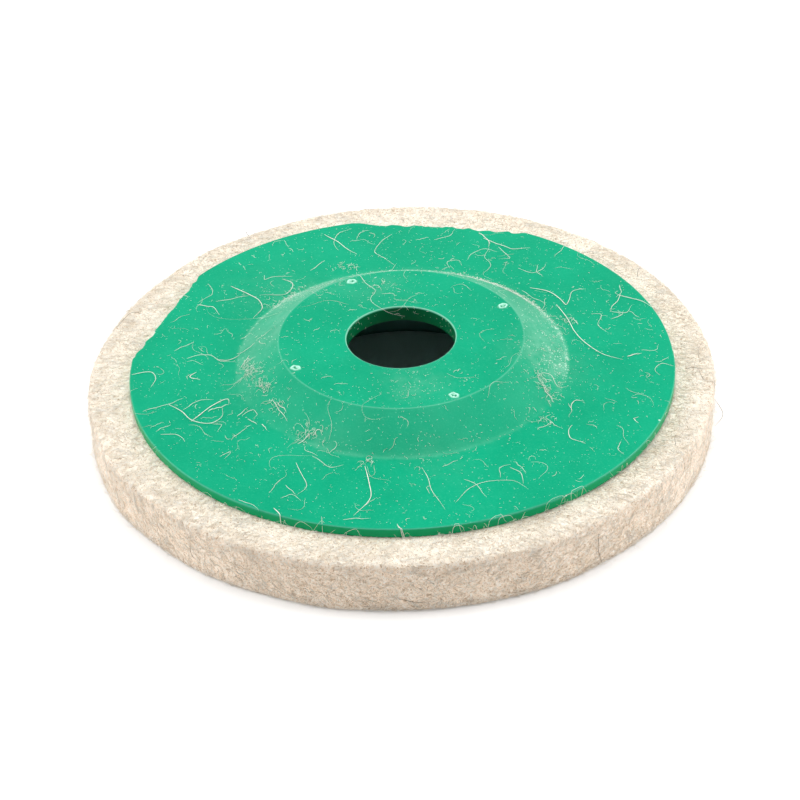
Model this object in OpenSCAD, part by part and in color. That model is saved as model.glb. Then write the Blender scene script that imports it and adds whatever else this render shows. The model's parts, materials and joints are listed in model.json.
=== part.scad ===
// Felt polishing wheel for an angle grinder: a moulded backing plate with a raised hub,
// bonded to a thick ring of pressed wool felt.
// The origin is the centre of the felt's working face, and +Z points along the bore
// towards the grinder. All sizes are in millimetres.

/* [Felt ring] */
// Outer diameter of the felt
felt_d = 127; // [118:1:160]
// Diameter of the hole in the felt, which clears the grinder's clamping nut
felt_hole_d = 60; // [50:1:64]
// Thickness of the felt
felt_h = 11; // [5:0.5:20]
// Radius of the felt's worn outer edges
felt_edge_r = 1; // [0.5:0.1:2.2]

/* [Backing plate] */
// Width of the bare felt left outside the backing plate
felt_margin = 8; // [4:0.5:20]
// Thickness of the flat flange
flange_t = 2; // [1.2:0.1:4]
// Height of the hub above the flange
hub_h = 5.6; // [3:0.1:10]
// Diameter of the hub's flat top
hub_top_d = 50; // [42:1:56]
// Diameter of the hub's sloping side where it meets the flange
hub_foot_d = 67.5; // [60:0.5:80]
// Radius of the fillet between the hub's side and the flange
hub_fillet_r = 2.5; // [0.5:0.1:4]
// Thickness of the hub's web, round the bore
web_t = 3.4; // [2:0.1:5]
// Diameter of the recess for the clamping nut, at the web
recess_d = 47; // [42:0.5:50]
// Small break on the plate's sharp edges
edge_break = 0.3; // [0.1:0.05:0.5]

/* [Grinder arbor] */
// Diameter of the bore, a running clearance over the grinder's 22.2 mm spigot
bore_d = 22.23; // [16:0.01:25.4]

/* [Trimmed edge] */
// How far each trimmed flat lies inside the plate's round outline
trim_depths = [2.9, 2.4]; // [0.5:0.1:5]
// Direction of each trimmed flat, from +X
trim_angles = [79.5, 158.5]; // [0:0.5:360]

/* [Gate marks] */
// Number of moulding gate marks on the hub's top
gate_count = 4; // [1:1:8]
// Distance of the gate marks inside the hub's top edge
gate_inset = 1.5; // [1.2:0.1:4]
// Direction of the first gate mark, from +X
gate_angle = 25; // [0:1:89]
// Outer diameter of a gate mark
gate_d = 1.7; // [1:0.1:2.2]
// Diameter of the pit in a gate mark
gate_pit_d = 0.8; // [0.4:0.1:0.9]
// Height of a gate mark's rim above the hub's top
gate_rim_h = 0.25; // [0.1:0.05:0.4]
// Depth of a gate mark's pit below the hub's top
gate_pit_depth = 0.3; // [0.1:0.05:0.6]

/* [Adhesive] */
// Thickness of the adhesive, both between the plate and the felt and in the recess
bond_t = 0.3; // [0.1:0.05:0.6]
// How far the adhesive stops short of the plate's outer edge
bond_inset = 0.8; // [0.2:0.1:3]
// How far the adhesive stops short of the bore
bore_margin = 1.2; // [0.5:0.1:3]
// Bare felt between the sealed wall of its hole and its working face
seal_lip = 1; // [0.5:0.1:3]

/* [Hidden] */
$fn = 96;
// Number of flat steps in a rounded corner
arc_steps = 5;
// How far a cutting solid runs past what it cuts
cut_past = 1;

felt_r = felt_d / 2;
felt_hole_r = felt_hole_d / 2;
plate_r = felt_r - felt_margin;
bore_r = bore_d / 2;
recess_r = recess_d / 2;
hub_top_r = hub_top_d / 2;
hub_foot_r = hub_foot_d / 2;

// Heights of the plate's faces, from the felt's working face upwards
plate_z = felt_h + bond_t;
flange_z = plate_z + flange_t;
hub_z = flange_z + hub_h;
web_z = hub_z - web_t;

// The hub's side, as an angle above the flange
hub_slope = atan2(hub_h, hub_foot_r - hub_top_r);
// The fillet touches the flange and the hub's side this far from where they would meet
fillet_reach = hub_fillet_r * tan(hub_slope / 2);
// The recess wall, as an angle above the plate's underside
recess_slope = atan2(web_z - plate_z, felt_hole_r - recess_r);
// The adhesive lies square to the recess wall, so both its corners shift inwards by this
bond_corner_shift = bond_t * tan(recess_slope / 2);

gate_circle_r = hub_top_r - gate_inset;

// Points along an arc about centre, from angle a0 to angle a1
function arc(centre, r, a0, a1) =
    [for (i = [0:arc_steps]) let (a = a0 + (a1 - a0) * i / arc_steps)
        centre + r * [cos(a), sin(a)]];

// Half section of the moulded plate, with its bore
module plate_section() {
    fillet_centre = [hub_foot_r + fillet_reach, flange_z + hub_fillet_r];
    polygon(concat(
        [[bore_r, web_z],
         [bore_r, hub_z - edge_break],
         [bore_r + edge_break, hub_z],
         [hub_top_r, hub_z]],
        arc(fillet_centre, hub_fillet_r, 270 - hub_slope, 270),
        [[plate_r - edge_break, flange_z],
         [plate_r, flange_z - edge_break],
         [plate_r, plate_z],
         [felt_hole_r, plate_z],
         [recess_r, web_z]]));
}

// Half section of the adhesive: flat under the flange, then up the recess wall and
// across the web
module bond_section() {
    polygon([
        [plate_r - bond_inset, felt_h],
        [plate_r - bond_inset, plate_z],
        [felt_hole_r, plate_z],
        [recess_r, web_z],
        [bore_r + bore_margin, web_z],
        [bore_r + bore_margin, web_z - bond_t],
        [recess_r - bond_corner_shift, web_z - bond_t],
        [felt_hole_r - bond_corner_shift, felt_h],
    ]);
}

// Half section of the felt, with both outer edges worn round
module felt_section() {
    corner_x = felt_r - felt_edge_r;
    polygon(concat(
        [[felt_hole_r, 0]],
        arc([corner_x, felt_edge_r], felt_edge_r, -90, 0),
        arc([corner_x, felt_h - felt_edge_r], felt_edge_r, 0, 90),
        [[felt_hole_r, felt_h]]));
}

// The waste outside the two trimmed flats; inset moves the cuts towards the axis
module trim_waste(inset) {
    for (i = [0:len(trim_angles) - 1])
        rotate([0, 0, trim_angles[i]])
            translate([plate_r - trim_depths[i] - inset, -plate_r, felt_h - cut_past])
                cube([plate_r, 2 * plate_r, bond_t + flange_t + 2 * cut_past]);
}

// Places its child at every gate mark, at the height of the hub's top
module at_gates() {
    for (i = [0:gate_count - 1])
        rotate([0, 0, gate_angle + i * 360 / gate_count])
            translate([gate_circle_r, 0, hub_z])
                children();
}

module backing_plate() {
    color([0.15, 0.72, 0.55])
    difference() {
        union() {
            rotate_extrude() plate_section();
            at_gates() translate([0, 0, -gate_pit_depth])
                cylinder(d = gate_d, h = gate_rim_h + gate_pit_depth);
        }
        trim_waste(0);
        at_gates() translate([0, 0, -gate_pit_depth])
            cylinder(d = gate_pit_d, h = gate_pit_depth + gate_rim_h + cut_past);
    }
}

module bond_film() {
    color([0.08, 0.08, 0.07])
    difference() {
        rotate_extrude() bond_section();
        trim_waste(bond_inset);
    }
}

module felt_ring() {
    color([0.94, 0.88, 0.77])
    rotate_extrude() felt_section();
}

// Adhesive brushed on the wall of the felt's hole, so that the cut edge does not shed
module hole_seal() {
    color([0.08, 0.08, 0.07])
    translate([0, 0, seal_lip])
        difference() {
            cylinder(r = felt_hole_r, h = felt_h - seal_lip);
            translate([0, 0, -cut_past])
                cylinder(r = felt_hole_r - bond_t, h = felt_h - seal_lip + 2 * cut_past);
        }
}

backing_plate();
bond_film();
felt_ring();
hole_seal();
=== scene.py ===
# %% [markdown]
# # A felt polishing wheel for an angle grinder
# A thick ring of pressed wool is glued to a moulded backing plate with a raised hub.
# The engineering model fixes every size and place, so the lesson starts by loading it, and
# every piece made here is put where that model says. Lengths are in metres.

# %% Load the frame
import json
import math

import bpy
import numpy as np
from mathutils import Matrix, Vector, noise


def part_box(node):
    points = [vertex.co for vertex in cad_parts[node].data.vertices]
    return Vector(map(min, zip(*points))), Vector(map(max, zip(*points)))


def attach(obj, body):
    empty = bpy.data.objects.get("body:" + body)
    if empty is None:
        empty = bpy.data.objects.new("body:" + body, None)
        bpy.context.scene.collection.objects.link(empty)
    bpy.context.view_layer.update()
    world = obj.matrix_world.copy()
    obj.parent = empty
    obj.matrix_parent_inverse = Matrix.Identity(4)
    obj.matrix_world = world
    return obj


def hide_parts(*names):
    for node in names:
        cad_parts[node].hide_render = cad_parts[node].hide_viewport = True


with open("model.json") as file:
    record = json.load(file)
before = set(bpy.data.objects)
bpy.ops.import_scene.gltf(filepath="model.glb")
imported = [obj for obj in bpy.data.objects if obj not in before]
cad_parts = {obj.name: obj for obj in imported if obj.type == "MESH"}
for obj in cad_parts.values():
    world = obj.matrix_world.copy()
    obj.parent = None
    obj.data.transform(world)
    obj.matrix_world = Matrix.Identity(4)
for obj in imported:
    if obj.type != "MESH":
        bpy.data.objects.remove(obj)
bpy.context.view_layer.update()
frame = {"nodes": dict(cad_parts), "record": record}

# %% [markdown]
# ## Sizes
# The wheel is turned from a few radii and levels. They are read off the model's boxes and
# mounts wherever it states them, and only the hub's foot and the small roundings are named
# here, because a box can't tell them.

# %% Read the sizes off the frame
MM = 0.001
MOUNTS = {mount["name"]: mount for mount in frame["record"]["mounts"]}


def cad_box(node):
    low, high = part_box(node)
    return Vector(low), Vector(high)


bore = MOUNTS["arbor_bore"]
BORE_R = bore["dims"]["r_mm"] * MM
WEB_Z = bore["pos_m"][2] - bore["dims"]["length_mm"] * MM / 2
HUB_Z = MOUNTS["hub_face"]["pos_m"][2]
FELT_R, FELT_H = cad_box("felt_ring")[1].x, cad_box("felt_ring")[1].z
PLATE_R, PLATE_Z = -cad_box("backing_plate")[0].y, cad_box("backing_plate")[0].z
FELT_HOLE_R = cad_box("hole_seal")[1].x

FLANGE_T = 2.0 * MM
FLANGE_Z = PLATE_Z + FLANGE_T
HUB_TOP_R = 25.0 * MM
HUB_FOOT_R = 33.75 * MM
HUB_FILLET = 2.5 * MM
RECESS_R = 23.5 * MM
EDGE_ROUND = 0.3 * MM
FELT_ROUND = 1.0 * MM
# Each trimmed stretch of the plate's edge: middle, half width, depth and squareness
TRIMS = [(79.5, 20.5, 3.1 * MM, 3.2), (158.5, 17.5, 2.5 * MM, 2.4)]
GATE_ANGLES = [25, 115, 205, 295]
GATE_CIRCLE_R = HUB_TOP_R - 1.5 * MM

print("bore %.2f mm, plate %.1f mm, felt %.1f mm across and %.1f mm thick" % tuple(
    v / MM for v in (2 * BORE_R, 2 * PLATE_R, 2 * FELT_R, FELT_H)))

# %% [markdown]
# ## Camera
# A long lens, looking down on the wheel at about 35 degrees and rolled a little. The roll is
# a turn about the camera's own axis, so it comes last in the product of the matrices.

# %% Make the camera
LOOK_AT = Vector((-0.66, 4.29, 0.0)) * MM
CAMERA_DISTANCE = 489.2 * MM
CAMERA_ELEVATION = math.radians(35.52)
CAMERA_ROLL = math.radians(-2.07)

camera_data = bpy.data.cameras.new("camera")
camera_data.lens = 105.1
camera_data.sensor_width = 36.0
camera_data.clip_start = 0.01
camera = bpy.data.objects.new("camera", camera_data)
bpy.context.collection.objects.link(camera)
backwards = Vector((0, -math.cos(CAMERA_ELEVATION), math.sin(CAMERA_ELEVATION)))
camera.matrix_world = (Matrix.Translation(LOOK_AT + CAMERA_DISTANCE * backwards)
                       @ Matrix.Rotation(math.pi / 2 - CAMERA_ELEVATION, 4, "X")
                       @ Matrix.Rotation(CAMERA_ROLL, 4, "Z"))
bpy.context.scene.camera = camera
print("camera", [round(v, 3) for v in camera.location])

# %% [markdown]
# ## Helpers for materials
# A material is a tree of nodes. These helpers add a node, set its constants and link its
# inputs in one line, so a tree reads like a formula. An effect that several finishes share is
# a node group with named inputs and outputs, which is built once.

# %% Node helpers


def put(tree, kind, **settings):
    """Adds a shader node and sets its properties."""
    node = tree.nodes.new("ShaderNode" + kind)
    for key, value in settings.items():
        setattr(node, key, value)
    return node


def feed(tree, node, inputs):
    """Sets each input of node: to a constant, or to a link when given a socket."""
    for key, value in inputs.items():
        if isinstance(value, bpy.types.NodeSocket):
            tree.links.new(value, node.inputs[key])
        else:
            node.inputs[key].default_value = value
    return node


def maths(tree, operation, a, b=0.0, clamp=False):
    node = feed(tree, put(tree, "Math", operation=operation, use_clamp=clamp), {0: a, 1: b})
    return node.outputs[0]


def blend_colours(tree, factor, a, b, mode="MIX"):
    node = put(tree, "Mix", data_type="RGBA", blend_type=mode)
    feed(tree, node, {0: factor, 6: a, 7: b})
    return node.outputs[2]


def stretch_range(tree, value, low, high, to_low=0.0, to_high=1.0):
    node = put(tree, "MapRange", interpolation_type="SMOOTHSTEP")
    feed(tree, node, {0: value, 1: low, 2: high, 3: to_low, 4: to_high})
    return node.outputs[0]


def noise_value(tree, vector, scale, detail=2.0, roughness=0.5):
    node = feed(tree, put(tree, "TexNoise"), {
        "Vector": vector, "Scale": scale, "Detail": detail, "Roughness": roughness})
    return node.outputs["Fac"]


def new_group(name, inputs, outputs):
    """A node group with named inputs (name: kind and default) and outputs (name: kind)."""
    group = bpy.data.node_groups.new(name, "ShaderNodeTree")
    for socket, (kind, default) in inputs.items():
        item = group.interface.new_socket(socket, in_out="INPUT", socket_type="NodeSocket" + kind)
        if default is not None:
            item.default_value = default
    for socket, kind in outputs.items():
        group.interface.new_socket(socket, in_out="OUTPUT", socket_type="NodeSocket" + kind)
    return group, group.nodes.new("NodeGroupInput").outputs, group.nodes.new("NodeGroupOutput")


def use_group(tree, group, **inputs):
    node = tree.nodes.new("ShaderNodeGroup")
    node.node_tree = group
    return feed(tree, node, {key.replace("_", " "): value for key, value in inputs.items()})


def new_material(name):
    material = bpy.data.materials.new(name)
    material.use_nodes = True
    tree = material.node_tree
    return material, tree, tree.nodes["Principled BSDF"]


print("node helpers ready")

# %% [markdown]
# ## Shared effects
# Three effects turn up in more than one finish. Specks are small round grains, from the cells
# of a Voronoi texture with only some cells kept. Mottle is the slow drift in tone that no real
# surface is without. Crossed fibres are five sets of stretched noise laid over each other at
# different angles, which reads as matted wool. A Mapping node of the texture kind turns the
# place first and stretches it afterwards, so each set's streaks run its own way.

# %% Specks, mottle and crossed fibres
specks, s_in, s_out = new_group(
    "specks",
    {"Vector": ("Vector", None), "Scale": ("Float", 1000.0), "Size": ("Float", 0.2),
     "Amount": ("Float", 0.3)},
    {"Mask": "Float"})
cells = feed(specks, put(specks, "TexVoronoi"), {"Vector": s_in["Vector"],
                                                 "Scale": s_in["Scale"]})
kept = maths(specks, "LESS_THAN", cells.outputs["Color"], s_in["Amount"])
inside = maths(specks, "LESS_THAN", cells.outputs["Distance"], s_in["Size"])
feed(specks, s_out, {"Mask": maths(specks, "MULTIPLY", kept, inside)})

mottle, m_in, m_out = new_group(
    "mottle",
    {"Vector": ("Vector", None), "Scale": ("Float", 100.0), "Low": ("Float", 0.0),
     "High": ("Float", 1.0)},
    {"Value": "Float"})
drift = noise_value(mottle, m_in["Vector"], m_in["Scale"], 3.0, 0.55)
feed(mottle, m_out, {"Value": stretch_range(mottle, drift, 0.3, 0.7, m_in["Low"], m_in["High"])})

crossed_fibres, f_in, f_out = new_group(
    "crossed_fibres",
    {"Vector": ("Vector", None), "Scale": ("Float", 2600.0), "Curl": ("Float", 0.0006)},
    {"Height": "Float", "Gaps": "Float"})
curls = feed(crossed_fibres, put(crossed_fibres, "TexNoise"), {
    "Vector": f_in["Vector"], "Scale": 700.0, "Detail": 1.0})
centred = feed(crossed_fibres, put(crossed_fibres, "VectorMath", operation="SUBTRACT"), {
    0: curls.outputs["Color"], 1: (0.5, 0.5, 0.5)})
push = feed(crossed_fibres, put(crossed_fibres, "VectorMath", operation="SCALE"), {
    0: centred.outputs[0], "Scale": f_in["Curl"]})
curled = feed(crossed_fibres, put(crossed_fibres, "VectorMath", operation="ADD"), {
    0: f_in["Vector"], 1: push.outputs[0]})
fibre_height = None
for turn in (0.2, 0.85, 1.45, 2.1, 2.7):
    laid = feed(crossed_fibres, put(crossed_fibres, "Mapping", vector_type="TEXTURE"), {
        "Vector": curled.outputs[0], "Rotation": (0, 0, turn), "Location": (turn, 0, 0),
        "Scale": (5.5, 1.0, 1.0)})
    strand = noise_value(crossed_fibres, laid.outputs[0], f_in["Scale"], 1.0, 0.5)
    fibre_height = strand if fibre_height is None else maths(
        crossed_fibres, "MAXIMUM", fibre_height, strand)
feed(crossed_fibres, f_out, {
    "Height": stretch_range(crossed_fibres, fibre_height, 0.52, 0.80),
    "Gaps": stretch_range(crossed_fibres, fibre_height, 0.595, 0.50)})
print("groups:", [group.name for group in bpy.data.node_groups])

# %% [markdown]
# ## Green plastic
# The plate is moulded in one solid green. What makes it look real is what has happened to it:
# pale gate marks and trimmed edges, a film of wool dust that gathers at the hub's foot, and countless
# specks. Painted highlights run along the edges of the bore, the hub's top and the rim, a painted sheen
# pales the hub's sloping side, and the bore and the rim's wall are painted a darker green for shade. The
# mesh carries a mask for each, painted in when the plate is made.

# %% Green plastic
green_plastic, tree, plastic = new_material("green_plastic")
place = put(tree, "TexCoord").outputs["Object"]
worn = put(tree, "Attribute", attribute_name="worn").outputs["Fac"]
dust_and_sheen = put(tree, "Attribute", attribute_name="dust_and_sheen").outputs["Fac"]
bore_shade = put(tree, "Attribute", attribute_name="bore_shade").outputs["Fac"]
wall = put(tree, "Attribute", attribute_name="wall").outputs["Fac"]
tone = use_group(tree, mottle, Vector=place, Scale=60.0, Low=0.0, High=1.0).outputs[0]
colour = blend_colours(tree, tone, (0.0, 0.335, 0.173, 1), (0.001, 0.376, 0.198, 1))
film_noise = use_group(tree, mottle, Vector=place, Scale=450.0, Low=0.25, High=1.0).outputs[0]
# Pale where wool dust lies, and on the hub's sloping side a painted sheen as well
film_and_sheen = maths(tree, "MULTIPLY", dust_and_sheen, film_noise, clamp=True)
grit = noise_value(tree, place, 3200.0, 1.0, 0.5)
colour = blend_colours(tree, stretch_range(tree, grit, 0.5, 0.75, 0.0, 0.12), colour,
                       (0.10, 0.62, 0.38, 1))
colour = blend_colours(tree, film_and_sheen, colour, (0.40, 0.70, 0.54, 1))
fine_specks = use_group(tree, specks, Vector=place, Scale=1900.0, Size=0.22, Amount=0.2)
speck_mask = maths(tree, "MULTIPLY", fine_specks.outputs[0], 0.4)
colour = blend_colours(tree, speck_mask, colour, (0.25, 0.72, 0.50, 1))
powder = use_group(tree, specks, Vector=place, Scale=2800.0, Size=0.42,
                   Amount=stretch_range(tree, dust_and_sheen, 0.03, 0.6, 0.0, 0.62))
powder_mask = maths(tree, "MULTIPLY", powder.outputs[0], 0.7)
colour = blend_colours(tree, powder_mask, colour, (0.70, 0.88, 0.76, 1))
bits = use_group(tree, specks, Vector=place, Scale=700.0, Size=0.16, Amount=0.05)
colour = blend_colours(tree, bits.outputs[0], colour, (0.55, 0.80, 0.64, 1))
dark_specks = use_group(tree, specks, Vector=place, Scale=420.0, Size=0.10, Amount=0.05)
colour = blend_colours(tree, dark_specks.outputs[0], colour, (0.002, 0.12, 0.06, 1))
# Painted highlights along the edges of the bore, the hub's top and the rim, together with the pale gate
# marks
colour = blend_colours(tree, worn, colour, (0.52, 0.93, 0.75, 1))
# Painted shade: the rim's wall is painted a deeper green for the shade that falls on it
colour = blend_colours(tree, maths(tree, "MULTIPLY", wall, 0.9), colour, (0.0, 0.34, 0.12, 1))
# Painted shade: the bore's wall is painted dark green for the shadow inside it
colour = blend_colours(tree, bore_shade, colour, (0.0, 0.135, 0.045, 1))
skin_bump = feed(tree, put(tree, "Bump"), {
    "Height": noise_value(tree, place, 2600.0, 2.0, 0.6), "Strength": 0.12, "Distance": 0.0002})
feed(tree, plastic, {
    "Base Color": colour,
    "Roughness": maths(tree, "ADD", maths(tree, "MULTIPLY", film_and_sheen, 0.4), 0.3),
    "Normal": skin_bump.outputs[0], "Specular IOR Level": 0.12})
print("green plastic:", len(tree.nodes), "nodes")

# %% [markdown]
# ## Pressed wool
# Felt is a mat of short wool fibres with no weave. Crossed fibres give the colour its gaps and
# the surface its relief. Wool is matt with a faint sheen. The gaps between the fibres are painted brown
# for the shade in them, the top is painted paler and creamier for the light on it, the side darker and
# pinker for shade, and the foot darker still for the shade by the table. It holds a few dark specks of
# vegetable matter, and under the plate and in the wall of its hole it is painted dark teal for the deep
# shade there, where the glue lies.
# The streaks follow the felt's own skin, so the mesh carries a position along that skin.

# %% Pressed wool
wool_felt, tree, felt_shader = new_material("wool_felt")
place = put(tree, "TexCoord").outputs["Object"]
skin = put(tree, "Attribute", attribute_name="skin").outputs["Vector"]
side = put(tree, "Attribute", attribute_name="side").outputs["Fac"]
mat = use_group(tree, crossed_fibres, Vector=skin, Scale=3200.0, Curl=0.002)
tone = use_group(tree, mottle, Vector=place, Scale=170.0, Low=0.4, High=0.6).outputs[0]
# Painted light and shade: the top is painted paler and creamier for the light on it, the side darker and
# pinker for shade
lit_top_colour = blend_colours(tree, tone, (0.93, 0.82, 0.66, 1), (0.96, 0.86, 0.71, 1))
shaded_side_colour = blend_colours(tree, tone, (0.90, 0.69, 0.50, 1), (0.94, 0.75, 0.57, 1))
colour = blend_colours(tree, side, lit_top_colour, shaded_side_colour)
# Painted shade: the gaps between the fibres are painted brown for the shade in them
gap_shade = maths(tree, "MULTIPLY", mat.outputs["Gaps"], 0.85)
colour = blend_colours(tree, gap_shade, colour, (0.46, 0.33, 0.22, 1))
tips = maths(tree, "MULTIPLY", mat.outputs["Height"], 0.9)
colour = blend_colours(tree, tips, colour, (0.99, 0.96, 0.89, 1))
grain = stretch_range(tree, noise_value(tree, skin, 3600.0, 2.0, 0.7), 0.3, 0.58, 0.84, 1.0)
colour = blend_colours(tree, 1.0, colour, grain, "MULTIPLY")
# Painted shade: the felt is painted darker in its last 2.5 mm towards the table
foot = stretch_range(tree, feed(tree, put(tree, "SeparateXYZ"), {0: place}).outputs["Z"],
                     0.0, 2.5 * MM, 0.8, 1.0)
colour = blend_colours(tree, 1.0, colour, foot, "MULTIPLY")
chaff = use_group(tree, specks, Vector=skin, Scale=520.0, Size=0.11, Amount=0.03)
colour = blend_colours(tree, chaff.outputs[0], colour, (0.30, 0.19, 0.11, 1))
rust = use_group(tree, specks, Vector=skin, Scale=380.0, Size=0.12, Amount=0.03)
colour = blend_colours(tree, maths(tree, "MULTIPLY", rust.outputs[0], side), colour,
                       (0.45, 0.13, 0.07, 1))
# Painted shade: where the felt is glued, under the plate and in the wall of its hole, it is painted dark
# teal for the deep shade there
glued_and_shaded = put(tree, "Attribute", attribute_name="glued_and_shaded").outputs["Fac"]
colour = blend_colours(tree, glued_and_shaded, colour, (0.09, 0.20, 0.18, 1))
felt_bump = feed(tree, put(tree, "Bump"), {
    "Height": mat.outputs["Height"], "Strength": 0.5, "Distance": 0.00012})
feed(tree, felt_shader, {
    "Base Color": colour, "Roughness": 0.95, "Normal": felt_bump.outputs[0],
    "Specular IOR Level": 0.1, "Sheen Weight": 0.15, "Sheen Roughness": 0.5})
print("pressed wool:", len(tree.nodes), "nodes")

# %% [markdown]
# ## Single fibres
# The loose fibres and the fuzz are thin tubes, and each one carries a tone, so that no two
# neighbours have quite the same colour: from cream at 0 to tan at 0.8, and dark brown at 1 for
# the few hairs that come from the dark part of a fleece.

# %% Wool fibre
wool_fibre, tree, fibre_shader = new_material("wool_fibre")
place = put(tree, "TexCoord").outputs["Object"]
tone = put(tree, "Attribute", attribute_name="tone").outputs["Fac"]
colour = blend_colours(tree, stretch_range(tree, tone, 0.0, 0.8), (0.99, 0.96, 0.89, 1),
                       (0.86, 0.74, 0.59, 1))
colour = blend_colours(tree, stretch_range(tree, tone, 0.85, 1.0), colour, (0.13, 0.08, 0.05, 1))
flecks = use_group(tree, mottle, Vector=place, Scale=900.0, Low=0.92, High=1.0).outputs[0]
colour = blend_colours(tree, 1.0, colour, flecks, "MULTIPLY")
feed(tree, fibre_shader, {
    "Base Color": colour, "Roughness": 0.75, "Specular IOR Level": 0.2,
    "Sheen Weight": 0.1})
print("wool fibre:", len(tree.nodes), "nodes")

# %% [markdown]
# ## Adhesive, painted dark as shade
# Contact adhesive is brushed on, so it dries with brush ridges and picks up some fluff. Its near-black
# teal is painted shade for the dark recess inside the wheel. The ridges run round the wheel: a wave
# texture in rings, broken up by noise.

# %% Adhesive, painted dark as shade
adhesive_shade, tree, glue_shader = new_material("adhesive_painted_shade")
place = put(tree, "TexCoord").outputs["Object"]
ridges = feed(tree, put(tree, "TexWave", wave_type="RINGS", rings_direction="Z"), {
    "Vector": place, "Scale": 260.0, "Distortion": 6.0, "Detail": 3.0})
lint = use_group(tree, specks, Vector=place, Scale=600.0, Size=0.12, Amount=0.06)
tone = use_group(tree, mottle, Vector=place, Scale=200.0, Low=0.0, High=1.0).outputs[0]
# Painted shade: the adhesive is painted near-black teal for the deep shade in the recess
colour = blend_colours(tree, tone, (0.10, 0.22, 0.20, 1), (0.12, 0.26, 0.235, 1))
colour = blend_colours(tree, lint.outputs[0], colour, (0.07, 0.06, 0.05, 1))
glue_bump = feed(tree, put(tree, "Bump"), {
    "Height": ridges.outputs["Fac"], "Strength": 0.3, "Distance": 0.0001})
feed(tree, glue_shader, {
    "Base Color": colour, "Normal": glue_bump.outputs[0], "Specular IOR Level": 0.25,
    "Roughness": maths(tree, "ADD", maths(tree, "MULTIPLY", tone, 0.2), 0.55)})
print("black adhesive:", len(tree.nodes), "nodes")

# %% [markdown]
# ## Floor and light
# The wheel lies on a white table in a bright tent, lit by four softboxes: one overhead, one on
# each side and a weak, faintly warm one low in front. The tent itself glows near the horizon,
# less in front, and stays dark higher up, so that little light finds its way down the bore. The
# table glows a little outside the wheel, which keeps it white where the soft shadow falls.

# %% Lay the table
FLOOR_SIZE = 6.0
bpy.ops.mesh.primitive_plane_add(size=FLOOR_SIZE, location=(0, 0, 0))
table_top = bpy.context.object
table_top.name = "table_top"
table_white, tree, table_shader = new_material("table_white")
place = put(tree, "TexCoord").outputs["Object"]
across = feed(tree, put(tree, "VectorMath", operation="LENGTH"), {0: place}).outputs["Value"]
glow = stretch_range(tree, across, 0.9 * FELT_R, FELT_R, 0.0, 0.16)
feed(tree, table_shader, {
    "Base Color": (0.86, 0.86, 0.86, 1), "Roughness": 0.9, "Specular IOR Level": 0.1,
    "Emission Color": (1, 1, 1, 1), "Emission Strength": glow})
table_top.data.materials.append(table_white)

# %% Hang the lights


def softbox(name, place, size, watts, tint=(1, 1, 1)):
    light = bpy.data.lights.new(name, "AREA")
    light.shape = "RECTANGLE"
    light.size, light.size_y = size
    light.energy = watts
    light.color = tint
    lamp = bpy.data.objects.new(name, light)
    lamp.location = place
    lamp.rotation_mode = "QUATERNION"
    lamp.rotation_quaternion = Vector(place).to_track_quat("Z", "Y")
    bpy.context.collection.objects.link(lamp)
    return lamp


softbox("overhead", (0.0, 0.12, 1.05), (1.2, 0.7), 9.6)
softbox("left_side", (-1.0, 0.1, 0.5), (0.7, 0.9), 7.3)
softbox("right_side", (1.0, 0.1, 0.5), (0.7, 0.9), 7.9)
softbox("front_low", (0.0, -1.3, 0.42), (1.2, 0.4), 1.7, tint=(1.0, 0.96, 0.92))

# %% Light the tent
world = bpy.data.worlds.new("tent")
bpy.context.scene.world = world
world.use_nodes = True
sky = world.node_tree
seen = put(sky, "LightPath").outputs["Is Camera Ray"]
direction = put(sky, "TexCoord").outputs["Generated"]
part = feed(sky, put(sky, "SeparateXYZ"), {0: direction}).outputs
near_horizon = stretch_range(sky, part["Z"], 0.1, 0.65, 1.0, 0.0)
not_in_front = stretch_range(sky, part["Y"], -0.7, 0.1, 0.25, 1.0)
tent_light = maths(sky, "ADD", maths(sky, "MULTIPLY", near_horizon, not_in_front), 0.1)
feed(sky, sky.nodes["Background"], {
    "Color": (1, 1, 1, 1), "Strength": stretch_range(sky, seen, 0.0, 1.0, tent_light, 1.0)})
bpy.context.scene.view_settings.view_transform = "Standard"

# %% [markdown]
# ## Turning an outline into a wheel
# Plate and felt are both bodies of revolution with small irregularities. A plain revolve in
# the modifier stack would give neither rough edges nor gate marks, so the mesh is made from a
# grid: outline points one way, angles the other. The grid is finer where the detail is, and a
# shape function moves its points before they become a mesh.

# %% Outline and grid helpers


def unit(v):
    return v / np.linalg.norm(v)


def outline(corners):
    """Closed outline through corners of (radius, height, rounding, spacing of what follows)."""
    count = len(corners)
    places = [np.array(corner[:2]) for corner in corners]
    turns = []
    for i, (_, _, rounding, _) in enumerate(corners):
        here = places[i]
        back, ahead = unit(places[i - 1] - here), unit(places[(i + 1) % count] - here)
        half = math.acos(float(np.clip(back @ ahead, -1, 1))) / 2
        reach = rounding / math.tan(half) if rounding else 0.0
        steps = np.linspace(0, 1, 6)[:, None] if rounding else np.array([[0.5]])
        start, end = here + back * reach, here + ahead * reach
        turns.append((1 - steps) ** 2 * start + 2 * steps * (1 - steps) * here + steps ** 2 * end)
    points = []
    for i, corner in enumerate(corners):
        points.extend(turns[i])
        gap = turns[(i + 1) % count][0] - turns[i][-1]
        pieces = max(1, round(float(np.linalg.norm(gap)) / corner[3]))
        points.extend(turns[i][-1] + gap * k / pieces for k in range(1, pieces))
    return np.array(points)


def stations(spacing, zones=()):
    """Angles round the wheel in radians, closer together in zones of (middle, half, spacing)."""
    angles = np.arange(0, 360, spacing)
    for middle, half, fine in zones:
        apart = np.abs((angles - middle + 180) % 360 - 180)
        angles = np.concatenate([angles[apart > half],
                                 np.arange(middle - half, middle + half + 1e-6, fine)])
    return np.radians(np.unique(np.round(angles % 360, 4)))


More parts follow.
